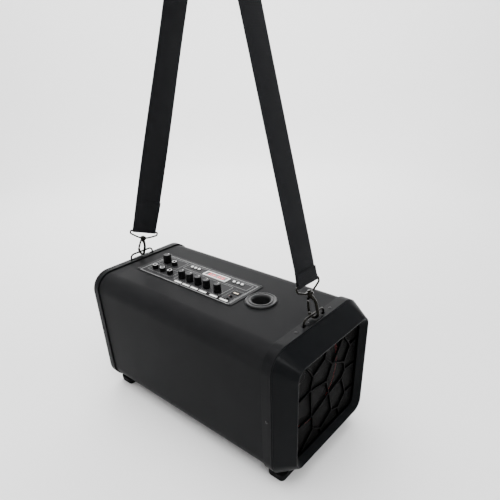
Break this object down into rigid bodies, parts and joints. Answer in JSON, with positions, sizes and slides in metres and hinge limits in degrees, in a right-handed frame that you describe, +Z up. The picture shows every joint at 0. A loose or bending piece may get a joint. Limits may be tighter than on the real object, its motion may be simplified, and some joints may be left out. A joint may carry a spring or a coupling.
{
  "type": "party speaker",
  "caption": "Portable party speaker: leatherette-covered cabinet with plastic end frames, lattice grille, top control panel, bass port, rubber feet and a clip-on shoulder strap.",
  "frame": {"origin": "on the surface that the feet stand on, under the middle of the outline", "axes": "+X along the cabinet towards the grille, +Z up, +Y to the left side"},
  "size_m": [0.534, 0.266, 0.8285],
  "materials": {
    "leatherette": "fine pebbled vinyl over board, satin",
    "frame_plastic": "finely textured, satin",
    "bezel_plastic": "smooth satin",
    "panel_black": "printed plate, satin",
    "black_plastic": "satin",
    "white_plastic": "smooth",
    "display_window": "smoked window over lit digits",
    "black_rubber": "matt",
    "dark_chrome": "dark nickel plate",
    "bright_metal": "plated",
    "webbing": "flat woven polypropylene",
    "grille_metal": "perforated sheet, powder coated",
    "lattice_plastic": "satin gloss",
    "board": "raw fibreboard",
    "paper_cone": "pressed pulp",
    "basket_steel": "pressed steel, painted",
    "magnet_steel": "plated plates on ferrite",
    "copper_coil": "enamelled wire",
    "spider_cloth": "varnished cloth",
    "light_guide": "red translucent",
    "circuit_board": "solder-masked board",
    "battery_case": "moulded case"
  },
  "bodies": {
    "root": {"cabinet_shell": "leatherette", "rear_panel": "leatherette", "front_baffle": "board", "rear_frame": "frame_plastic", "rear_gasket": "black_rubber", "front_frame": "frame_plastic", "front_bezel": "bezel_plastic", "grille_mesh": "grille_metal", "grille_lattice": "lattice_plastic", "woofer_basket": "basket_steel", "woofer_magnet": "magnet_steel", "woofer_surround": "black_rubber", "spider": "spider_cloth", "led_ring": "light_guide", "bass_port": "black_plastic", "control_panel": "panel_black", "input_jack_1": "black_plastic", "input_jack_2": "black_plastic", "input_jack_3": "black_plastic", "input_jack_4": "black_plastic", "usb_port": "bright_metal", "aux_jack": "black_plastic", "charge_socket": "black_plastic", "display_frame": "white_plastic", "display_window": "display_window", "control_board": "circuit_board", "amplifier_board": "circuit_board", "battery_pack": "battery_case", "battery_bracket": "bright_metal", "foot_rear_right": "black_rubber", "foot_rear_left": "black_rubber", "foot_front_right": "black_rubber", "foot_front_left": "black_rubber", "ring_clamp_rear": "frame_plastic", "ring_clamp_front": "frame_plastic"},
    "cone": {"woofer_cone": "paper_cone", "dust_cap": "black_plastic", "voice_coil": "copper_coil"},
    "tone_1": {"tone_knob_1": "black_plastic"},
    "tone_2": {"tone_knob_2": "black_plastic"},
    "tone_3": {"tone_knob_3": "black_plastic"},
    "tone_4": {"tone_knob_4": "black_plastic"},
    "tone_5": {"tone_knob_5": "black_plastic"},
    "volume": {"volume_knob": "black_plastic"},
    "button_1": {"push_button_1": "white_plastic"},
    "button_2": {"push_button_2": "white_plastic"},
    "button_3": {"push_button_3": "white_plastic"},
    "button_4": {"push_button_4": "white_plastic"},
    "button_5": {"push_button_5": "white_plastic"},
    "button_6": {"push_button_6": "white_plastic"},
    "ring_rear": {"strap_ring_rear": "dark_chrome"},
    "ring_front": {"strap_ring_front": "dark_chrome"},
    "strap": {"strap_webbing": "webbing", "swivel_buckle_rear": "dark_chrome", "swivel_buckle_front": "dark_chrome"},
    "hook_rear": {"snap_hook_rear": "dark_chrome"},
    "hook_front": {"snap_hook_front": "dark_chrome"},
    "gate_rear": {"hook_gate_rear": "dark_chrome"},
    "gate_front": {"hook_gate_front": "dark_chrome"}
  },
  "joints": [
    {"name": "cone_travel", "type": "slide", "parent": "root", "child": "cone", "axis": [1, 0, 0], "range_m": [-0.004, 0.004], "stiffness_N_per_m": 1500},
    {"name": "tone_1_turn", "type": "hinge", "parent": "root", "child": "tone_1", "pos_m": [-0.0921, -0.0234, 0.2907], "axis": [0, 0, 1], "range_deg": [-150, 150]},
    {"name": "tone_2_turn", "type": "hinge", "parent": "root", "child": "tone_2", "pos_m": [-0.0681, -0.0234, 0.2907], "axis": [0, 0, 1], "range_deg": [-150, 150]},
    {"name": "tone_3_turn", "type": "hinge", "parent": "root", "child": "tone_3", "pos_m": [-0.044, -0.0234, 0.2907], "axis": [0, 0, 1], "range_deg": [-150, 150]},
    {"name": "tone_4_turn", "type": "hinge", "parent": "root", "child": "tone_4", "pos_m": [-0.0199, -0.0234, 0.2907], "axis": [0, 0, 1], "range_deg": [-150, 150]},
    {"name": "tone_5_turn", "type": "hinge", "parent": "root", "child": "tone_5", "pos_m": [0.0102, -0.0234, 0.2907], "axis": [0, 0, 1], "range_deg": [-150, 150]},
    {"name": "volume_turn", "type": "hinge", "parent": "root", "child": "volume", "pos_m": [-0.1805, 0.0132, 0.2907], "axis": [0, 0, 1], "range_deg": [-150, 150]},
    {"name": "button_1_press", "type": "slide", "parent": "root", "child": "button_1", "axis": [0, 0, -1], "range_m": [0, 0.001], "stiffness_N_per_m": 300, "springref_m": -0.001},
    {"name": "button_2_press", "type": "slide", "parent": "root", "child": "button_2", "axis": [0, 0, -1], "range_m": [0, 0.001], "stiffness_N_per_m": 300, "springref_m": -0.001},
    {"name": "button_3_press", "type": "slide", "parent": "root", "child": "button_3", "axis": [0, 0, -1], "range_m": [0, 0.001], "stiffness_N_per_m": 300, "springref_m": -0.001},
    {"name": "button_4_press", "type": "slide", "parent": "root", "child": "button_4", "axis": [0, 0, -1], "range_m": [0, 0.001], "stiffness_N_per_m": 300, "springref_m": -0.001},
    {"name": "button_5_press", "type": "slide", "parent": "root", "child": "button_5", "axis": [0, 0, -1], "range_m": [0, 0.001], "stiffness_N_per_m": 300, "springref_m": -0.001},
    {"name": "button_6_press", "type": "slide", "parent": "root", "child": "button_6", "axis": [0, 0, -1], "range_m": [0, 0.001], "stiffness_N_per_m": 300, "springref_m": -0.001},
    {"name": "rear_ring_tilt", "type": "hinge", "parent": "root", "child": "ring_rear", "pos_m": [-0.25625, 0, 0.287], "axis": [0, 1, 0], "range_deg": [-4, 4]},
    {"name": "front_ring_tilt", "type": "hinge", "parent": "root", "child": "ring_front", "pos_m": [0.218, 0, 0.287], "axis": [0, 1, 0], "range_deg": [-4, 4]},
    {"name": "strap_swing", "type": "hinge", "parent": "root", "child": "strap", "pos_m": [0, 0, 0.297], "axis": [1, 0, 0], "range_deg": [-30, 30]},
    {"name": "rear_hook_swivel", "type": "hinge", "parent": "strap", "child": "hook_rear", "pos_m": [-0.25625, 0, 0.303], "axis": [0.3939, 0, 0.9191], "range_deg": [-8, 8]},
    {"name": "front_hook_swivel", "type": "hinge", "parent": "strap", "child": "hook_front", "pos_m": [0.218, 0, 0.303], "axis": [-0.2622, 0, 0.965], "range_deg": [-8, 8]},
    {"name": "rear_gate_open", "type": "hinge", "parent": "hook_rear", "child": "gate_rear", "pos_m": [-0.25394, 0, 0.32616], "axis": [0, -1, 0], "range_deg": [0, 18], "stiffness_Nm_per_rad": 0.005, "springref_deg": -28.65},
    {"name": "front_gate_open", "type": "hinge", "parent": "hook_front", "child": "gate_front", "pos_m": [0.20542, 0, 0.32259], "axis": [0, -1, 0], "range_deg": [0, 18], "stiffness_Nm_per_rad": 0.005, "springref_deg": -28.65}
  ]
}
